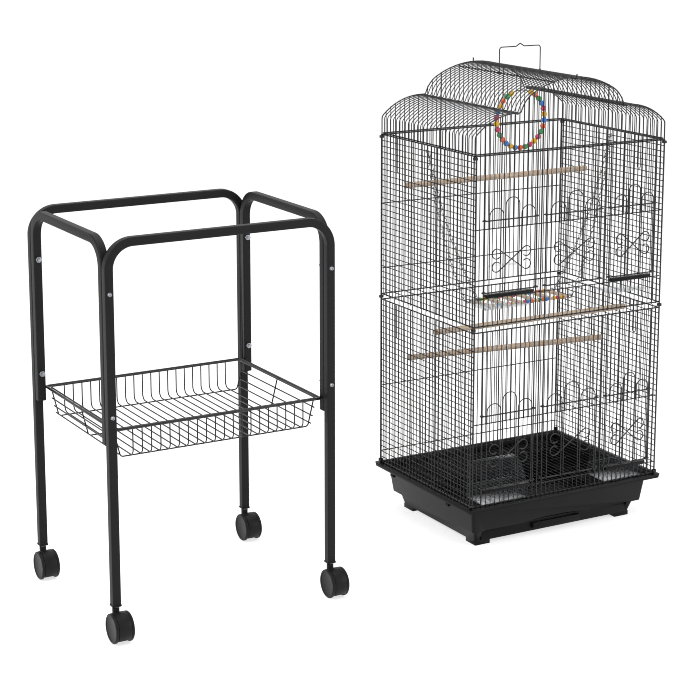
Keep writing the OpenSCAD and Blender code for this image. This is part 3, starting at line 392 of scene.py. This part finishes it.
# %% [markdown]
# ## Round wires of the roof
# Each roof bar is one long wire, bent up from the left wall over the dome and down to the right wall. The
# line is a row of corners, each with a bend radius. A curve with a round bevel follows such a line and keeps
# the wire's thickness through every bend, so one curve is drawn, made a mesh and copied from front to back.
# Dipping leaves more epoxy on the roof's long bars, 0.15 mm all round.

# %% A line with rounded corners
def rounded_line(corners, radii, step_deg=5):
    """Points along straight runs (x, z) joined by arcs of the given radii."""
    line = [corners[0]]
    for before, here, after, radius in zip(corners, corners[1:], corners[2:], radii[1:]):
        into = math.atan2(here[1] - before[1], here[0] - before[0])
        out = math.atan2(after[1] - here[1], after[0] - here[0])
        turn = (out - into + math.pi) % (2 * math.pi) - math.pi
        setback = radius * math.tan(abs(turn) / 2)
        steps = max(1, math.ceil(abs(math.degrees(turn)) / step_deg))
        x, z = here[0] - setback * math.cos(into), here[1] - setback * math.sin(into)
        side = into + math.copysign(math.pi / 2, turn)
        centre = (x + radius * math.cos(side), z + radius * math.sin(side))
        for k in range(steps + 1):
            angle = side + math.pi + turn * k / steps
            line.append((centre[0] + radius * math.cos(angle), centre[1] + radius * math.sin(angle)))
    return [*line, corners[-1]]

def round_wire(name, points, diameter_mm, resolution=1):
    """A round wire along points given in metres."""
    bpy.ops.object.select_all(action="DESELECT")
    bpy.ops.curve.primitive_nurbs_path_add()
    wire = bpy.context.object
    wire.name = name
    wire.data.splines.clear()
    run = wire.data.splines.new("POLY")
    run.points.add(len(points) - 1)
    for place, point in zip(run.points, points):
        place.co = (*point, 1)
    wire.data.bevel_depth = diameter_mm * MM / 2
    wire.data.bevel_resolution = resolution
    wire.data.use_fill_caps = True
    bpy.ops.object.convert(target="MESH")
    grab(wire)
    bpy.ops.object.shade_smooth_by_angle(angle=math.radians(50))
    return wire

def copies(model, matrices, name):
    """Copies of one modelled piece at each matrix, each with its own mesh, joined into one piece."""
    made = []
    for matrix in matrices:
        twin = model.copy()
        twin.data = model.data.copy()
        bpy.context.scene.collection.objects.link(twin)
        twin.matrix_world = matrix
        made.append(twin)
    bpy.context.view_layer.update()
    return settle(join(made, name))

# %% The roof bar's line, in millimetres
HALF_W, HALF_D = 228.5, 175.0
BAR_D, EDGE_D, WELD, COAT = 1.8, 2.8, 0.03, 0.15
ROOF_FOOT, VALLEY_X, VALLEY_Z, FLAT_X = 800.3, 124.0, 876.0, 135.0
KNEE_SLOPE, KNEE_R, DOME_SLOPE, SHOULDER_SLOPE, SHOULDER_R, CREASE_R = 44, 12, 72, 30, 60, 4
ROOF_GAPS = 30

def tan_deg(angle): return math.tan(math.radians(angle))
def sin_deg(angle): return math.sin(math.radians(angle))
def cos_deg(angle): return math.cos(math.radians(angle))

knee_cut = KNEE_R * tan_deg((90 - KNEE_SLOPE) / 2)
slope = (HALF_W - FLAT_X + knee_cut) / (1 + cos_deg(KNEE_SLOPE))
dome_cut = CREASE_R * tan_deg(DOME_SLOPE / 2) + SHOULDER_R * tan_deg((DOME_SLOPE - SHOULDER_SLOPE) / 2)
shoulder = (VALLEY_X - dome_cut * cos_deg(DOME_SLOPE), VALLEY_Z + dome_cut * sin_deg(DOME_SLOPE))
crown_z = shoulder[1] + shoulder[0] * tan_deg(SHOULDER_SLOPE)
crown_r = (shoulder[0] / cos_deg(SHOULDER_SLOPE)
           - SHOULDER_R * tan_deg((DOME_SLOPE - SHOULDER_SLOPE) / 2)) / tan_deg(SHOULDER_SLOPE)
half = [(HALF_W, ROOF_FOOT), (HALF_W, VALLEY_Z - slope * sin_deg(KNEE_SLOPE)),
        (HALF_W - slope * cos_deg(KNEE_SLOPE), VALLEY_Z), (VALLEY_X, VALLEY_Z), shoulder]
half_radii = [0, KNEE_R, (slope - knee_cut) / tan_deg(KNEE_SLOPE / 2), CREASE_R, SHOULDER_R]
roof_line = rounded_line([(-x, z) for x, z in half] + [(0, crown_z)] + half[::-1],
                         half_radii + [crown_r] + half_radii[::-1])
print("roof bar: points", len(roof_line), "top", round(max(z for _, z in roof_line), 1), "mm")

# %% Bend and copy the roof bars
def roof_wires(diameter, rows, name):
    model = round_wire(name + "_model", [in_cage(x, 0, z) for x, z in roof_line], diameter)
    made = copies(model, [Matrix.Translation((0, y * MM, 0)) for y in rows], name)
    bpy.data.objects.remove(model)
    return belongs(made, "roof_bars", epoxy)

thin_rows = [k * 2 * HALF_D / ROOF_GAPS - HALF_D for k in range(1, ROOF_GAPS)]
end_row = HALF_D - (EDGE_D + WELD) / 2
roof_wires(BAR_D + 2 * COAT, thin_rows, "roof_wires")
roof_wires(EDGE_D, (-end_row, end_row), "roof_end_wires")
print("roof wires", len(thin_rows) + 2)

# %% [markdown]
# ## Basket of the stand
# The basket is welded from coated wire: twenty U-shaped wires hang from the rim across the short way, three
# long wires run under them with slanted ends, and three short rungs cross each slanted end. Each kind is
# drawn once as a round wire and copied.

# %% Draw the three kinds of basket wire
front_low, front_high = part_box("front_frame")
back_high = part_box("back_frame")[1]
stand_x, stand_y = (front_low.x + front_high.x) / 2, (front_low.y + back_high.y) / 2

def in_stand(x, y, z):
    """A place in the stand, given in millimetres from its middle, in metres."""
    return (stand_x + x * MM, stand_y + y * MM, z * MM)

BASKET_D, RIM_X, RIM_Y, RIM_Z, BASKET_H, RIM_STEP = 2.6, 205.5, 165.7, 378.0, 53.0, 3.83
U_BEND, END_SLANT, U_COUNT, END_BEND = 12.0, 14.0, 20, 7.0
RUNG_DEPTHS, RUNG_OVER, RUNG_GAP = (0.36, 0.64, 0.89), 4, 0.12
u_half = RIM_Y - RIM_STEP
floor_z = RIM_Z - BASKET_H
long_z = floor_z - BASKET_D - WELD
slant_x = RIM_X - RIM_STEP - END_SLANT
long_half = u_half - U_BEND - 3
tilt = math.atan(END_SLANT / (RIM_Z - long_z))
top = (RIM_X - RIM_STEP * math.cos(tilt), RIM_Z + RIM_STEP * math.sin(tilt))

u_line = rounded_line([(-u_half, RIM_Z + 1), (-u_half, floor_z), (u_half, floor_z), (u_half, RIM_Z + 1)],
                      [0, U_BEND, U_BEND, 0], 10)
long_line = rounded_line([(-top[0], top[1]), (-slant_x, long_z), (slant_x, long_z), top],
                         [0, END_BEND, END_BEND, 0], 10)
u_wire = round_wire("u_wire", [in_stand(0, y, z) for y, z in u_line], BASKET_D)
long_wire = round_wire("long_wire", [in_stand(x, 0, z) for x, z in long_line], BASKET_D)
rung = round_wire("rung", [in_stand(0, side * (long_half + RUNG_OVER), 0) for side in (-1, 1)], BASKET_D)

# %% Copy them into the basket
def shifted(x, y, z):
    return Matrix.Translation((x * MM, y * MM, z * MM))

u_pitch = 2 * slant_x / (U_COUNT + 1)
u_wires = copies(u_wire, [shifted(k * u_pitch - slant_x, 0, 0) for k in range(1, U_COUNT + 1)],
                 "basket_u_wires")
long_wires = copies(long_wire, [shifted(0, y, 0) for y in (-long_half, 0, long_half)], "basket_long_wires")
rung_places = []
for t in RUNG_DEPTHS:
    z = RIM_Z - t * (RIM_Z - long_z)
    x = slant_x + (top[0] - slant_x) / (top[1] - long_z) * (z - long_z) + BASKET_D + RUNG_GAP
    rung_places += [shifted(-x, 0, z), shifted(x, 0, z)]
rungs = copies(rung, rung_places, "basket_rungs")
for piece in (u_wires, long_wires, rungs):
    belongs(piece, "basket_wires", epoxy)
for model in (u_wire, long_wire, rung):
    bpy.data.objects.remove(model)
print("basket wires", U_COUNT + 3 + len(rung_places))

# %% [markdown]
# ## Beads
# A bead is a small ball of wood, drilled through and dipped. A sphere is the start: the two polar caps are
# taken away, and the two open rims are bridged, which makes the drilled hole. The ring carries 27 beads in
# five colours, and the hanging bridge carries three between each two slats on either side. The ring's beads
# have a thick coat, 0.4 mm of lacquer all round.

# %% Model one bead
HOLE_DEG = 14

def drilled_bead(diameter_mm, name):
    bpy.ops.object.select_all(action="DESELECT")
    bpy.ops.mesh.primitive_uv_sphere_add(segments=20, ring_count=12, radius=diameter_mm * MM / 2)
    bead = bpy.context.object
    bead.name = name
    cap = diameter_mm * MM / 2 * math.cos(math.radians(HOLE_DEG))
    pick_faces(bead, lambda centre, normal: abs(centre.z) > cap)
    bpy.ops.mesh.delete(type="FACE")
    bpy.ops.mesh.select_mode(type="EDGE")
    bpy.ops.mesh.select_all(action="DESELECT")
    bpy.ops.mesh.select_non_manifold()
    bpy.ops.mesh.bridge_edge_loops()
    object_mode()
    bpy.ops.object.shade_smooth_by_angle(angle=math.radians(40))
    return bead

RING_R, RING_Z, RING_Y, RING_STEP, RING_GAP = 59.0, 835.0, 2 * HALF_D / ROOF_GAPS / 2, 12.0, 24.0
BEAD_NAMES = list(BEAD_COLOURS)
RING_ORDER = (0, 1, 2, 0, 3, 4, 0, 4, 1, 2, 3, 0, 3, 2, 1, 4, 0, 4, 1, 2, 3, 0, 4, 3, 1, 2, 0)
ring_places = []
for k in range(len(RING_ORDER)):
    turn = Matrix.Rotation(math.radians(-90 - RING_GAP - k * RING_STEP), 4, "Y")
    ring_places.append(Matrix.Translation(in_cage(0, RING_Y, RING_Z)) @ turn
                       @ Matrix.Translation((RING_R * MM, 0, 0)))

DECK_Z, SLAT_COUNT, SLAT_W, GROUP, WIRE_Y = 461.0, 6, 10.0, 3, 32.0
BEAD_D, DECK_BEAD_D = 11.0, 9.0
LACQUER = 0.4
group_gap = GROUP * (DECK_BEAD_D + 0.2)
FRONT_ORDER = (0, 3, 1, 2, 0, 4, 4, 3, 2, 1, 2, 3, 0, 4, 0)
BACK_ORDER = (3, 1, 0, 4, 1, 2, 3, 2, 4, 0, 1, 3, 2, 4, 0)
deck_places = []
for y in (-WIRE_Y, WIRE_Y):
    for gap in range(SLAT_COUNT - 1):
        for k in range(GROUP):
            x = ((gap - (SLAT_COUNT - 2) / 2) * (SLAT_W + group_gap)
                 + (k - (GROUP - 1) / 2) * group_gap / GROUP)
            deck_places.append(Matrix.Translation(in_cage(x, y, DECK_Z))
                               @ Matrix.Rotation(math.pi / 2, 4, "Y"))

# %% String the beads, one piece for each colour
def string_beads(diameter, places, order, node, name):
    model = drilled_bead(diameter, name + "_model")
    for number, colour in enumerate(BEAD_NAMES):
        chosen = [place for place, which in zip(places, order) if which == number]
        belongs(copies(model, chosen, f"{name}_{colour}"), node, lacquers[colour])
    bpy.data.objects.remove(model)

string_beads(BEAD_D + 2 * LACQUER, ring_places, RING_ORDER, "ring_beads", "ring_bead")
string_beads(DECK_BEAD_D, deck_places, FRONT_ORDER + BACK_ORDER, "bridge_beads", "bridge_bead")
print("beads", len(ring_places) + len(deck_places))

# %% [markdown]
# ## Chains of the bridge
# The bridge hangs on four light chains of plain oval links. One link is a ring stretched along one axis.
# Links follow the sag of the chain, each a quarter turn about the chain from the one before, as linked rings
# lie.

# %% Model one link and hang the chains
LINK_WIRE, LINK_WIDE, LINK_LONG = 1.2, 4.8, 10.6
CHAIN_D, CHAIN_SAG = 3.0, 14.0
DECK_EYE_X, DECK_EYE_R, DECK_WIRE_D, LOW_GAP = 106.0, 4.0, 2.2, 0.15
HANG_Z, HANG_R, HANG_Y, HANG_DROP, HIGH_GAP = 786.614, 2.6, 2.2, 2, 0.1

def chain_link():
    bpy.ops.object.select_all(action="DESELECT")
    bpy.ops.mesh.primitive_torus_add(major_segments=14, minor_segments=6, major_radius=LINK_WIDE * MM / 2,
                                     minor_radius=LINK_WIRE * MM / 2)
    link = bpy.context.object
    for vertex in link.data.vertices:
        vertex.co.x += math.copysign((LINK_LONG - LINK_WIDE) * MM / 2, vertex.co.x)
    bpy.ops.object.shade_smooth()
    return link

def hanging_places(start, end, sag, pitch):
    """Matrices along the arc that sags below the straight line from start to end, a quarter turn apart."""
    a, b = Vector(start), Vector(end)
    span = b - a
    up = span.cross(Vector((0, 0, 1))).cross(span).normalized()
    half_span = span.length / 2
    radius = (half_span ** 2 + sag ** 2) / (2 * sag)
    centre = (a + b) / 2 + up * (radius - sag)
    first = (a - centre).normalized()
    across = (span - span.dot(first) * first).normalized()
    whole = 2 * math.asin(half_span / radius)
    count = round(whole * radius / pitch)
    places = []
    for k in range(count):
        angle = whole * (k + 0.5) / count
        out = first * math.cos(angle) + across * math.sin(angle)
        along = -first * math.sin(angle) + across * math.cos(angle)
        side = along.cross(out)
        turn = math.radians(45 + 90 * (k % 2))
        y_axis = out * math.cos(turn) + side * math.sin(turn)
        z_axis = along.cross(y_axis)
        basis = Matrix((along, y_axis, z_axis)).transposed().to_4x4()
        places.append(Matrix.Translation(centre + out * radius) @ basis)
    return places

low_x = DECK_EYE_X + DECK_EYE_R + DECK_WIRE_D / 2 + CHAIN_D / 2 + LOW_GAP
high_x = HALF_W - (BAR_D + WELD) / 2 - HANG_R - BAR_D / 2 - HIGH_GAP
link = chain_link()
chain_places = []
for sx in (-1, 1):
    for sy in (-1, 1):
        chain_places += hanging_places(in_cage(sx * low_x, sy * WIRE_Y, DECK_Z),
                                       in_cage(sx * high_x, sy * HANG_Y, HANG_Z - HANG_DROP), CHAIN_SAG * MM,
                                       (LINK_LONG - LINK_WIRE) * MM)
belongs(copies(link, chain_places, "bridge_chain_links"), "bridge_chains", nickel)
bpy.data.objects.remove(link)
print("chain links", len(chain_places))

# %% [markdown]
# ## Light and camera values
# The camera stands to the left of the front, higher than the handle, and looks slightly down with a
# long lens. The lamps are three large softboxes: a key from the upper left, a fill from the right and one
# overhead, all soft, so that black surfaces get wide, dim highlights.

# %% Values
CAMERA_PLACE = (-1.8561, -3.1858, 1.3609)
CAMERA_HEADING, CAMERA_DOWN = 29.77, 11.37
CAMERA_LENS, CAMERA_SHIFT = 99.55, -0.15
FLOOR_GLOW, WORLD_LIGHT = 0.66, 0.4
SOFTBOXES = (("key", (-2.6, -1.2, 2.6), (0, 0, 0.4), (1.8, 1.8), 48),
             ("fill", (2.4, -2.6, 1.6), (0.2, 0, 0.4), (2.2, 1.8), 30),
             ("top", (0.2, 0.3, 3.0), (0, 0, 0), (2.4, 2.0), 20))

# %% [markdown]
# ## Floor, light and camera
# The floor is a wide plane of a near-white matt paint. Seen straight from the camera it also glows, so that
# it ends as white as the backdrop, while the object's soft shadow stays. The backdrop is the world: white
# to the camera, to reflections and through clear plastic, and a plain soft grey as a light.

# %% Floor
def camera_like(tree):
    """1 for rays from the camera, from a reflection or through something clear, and 0 for the rest."""
    rays = add_node(tree, "ShaderNodeLightPath").outputs
    seen = add_node(tree, "ShaderNodeMath", {0: rays["Is Camera Ray"], 1: rays["Is Glossy Ray"]},
                    operation="MAXIMUM")
    return add_node(tree, "ShaderNodeMath", {0: seen.outputs[0], 1: rays["Is Transmission Ray"]},
                    operation="MAXIMUM").outputs[0]

floor_paint = bpy.data.materials.new("matt_white_floor")
floor_paint.use_nodes = True
tree = floor_paint.node_tree
tree.nodes.clear()
matt = add_node(tree, "ShaderNodeBsdfDiffuse", {"Color": linear("#f4f4f4")})
glow_level = add_node(tree, "ShaderNodeMath", {0: camera_like(tree), 1: FLOOR_GLOW}, operation="MULTIPLY")
glow = add_node(tree, "ShaderNodeEmission", {"Color": (1, 1, 1, 1), "Strength": glow_level.outputs[0]})
both = add_node(tree, "ShaderNodeAddShader", {0: matt.outputs[0], 1: glow.outputs[0]})
add_node(tree, "ShaderNodeOutputMaterial", {"Surface": both.outputs[0]})

bpy.ops.object.select_all(action="DESELECT")
bpy.ops.mesh.primitive_plane_add(size=60, location=(0, 0, -0.0005))
floor = settle(bpy.context.object)
floor.name = "floor"
floor.data.materials.append(floor_paint)

# %% World and lamps
world = bpy.data.worlds.new("studio")
bpy.context.scene.world = world
world.use_nodes = True
tree = world.node_tree
tree.nodes.clear()
level = add_node(tree, "ShaderNodeMix", {"Factor": camera_like(tree), "A": WORLD_LIGHT, "B": 1.0},
                 data_type="FLOAT")
sky = add_node(tree, "ShaderNodeBackground", {"Color": (1, 1, 1, 1), "Strength": level.outputs["Result"]})
add_node(tree, "ShaderNodeOutputWorld", {"Surface": sky.outputs[0]})

def softbox(name, place, aim, size, power):
    lamp = bpy.data.lights.new(name, "AREA")
    lamp.shape = "RECTANGLE"
    lamp.size, lamp.size_y = size
    lamp.energy = power
    holder = bpy.data.objects.new(name, lamp)
    bpy.context.scene.collection.objects.link(holder)
    holder.location = place
    holder.rotation_euler = (Vector(aim) - Vector(place)).to_track_quat("-Z", "Y").to_euler()

for name, place, aim, size, power in SOFTBOXES:
    softbox(name, place, aim, size, power)

# %% Camera
camera_data = bpy.data.cameras.new("camera")
camera = bpy.data.objects.new("camera", camera_data)
bpy.context.scene.collection.objects.link(camera)
camera.location = CAMERA_PLACE
camera.rotation_euler = (math.radians(90 - CAMERA_DOWN), 0, math.radians(-CAMERA_HEADING))
camera_data.lens = CAMERA_LENS
camera_data.sensor_width = 36.0
camera_data.shift_y = CAMERA_SHIFT
bpy.context.scene.camera = camera
bpy.context.scene.view_settings.view_transform = "Standard"
# A narrow filter keeps the thin wires crisp
bpy.context.scene.cycles.filter_width = 1.0
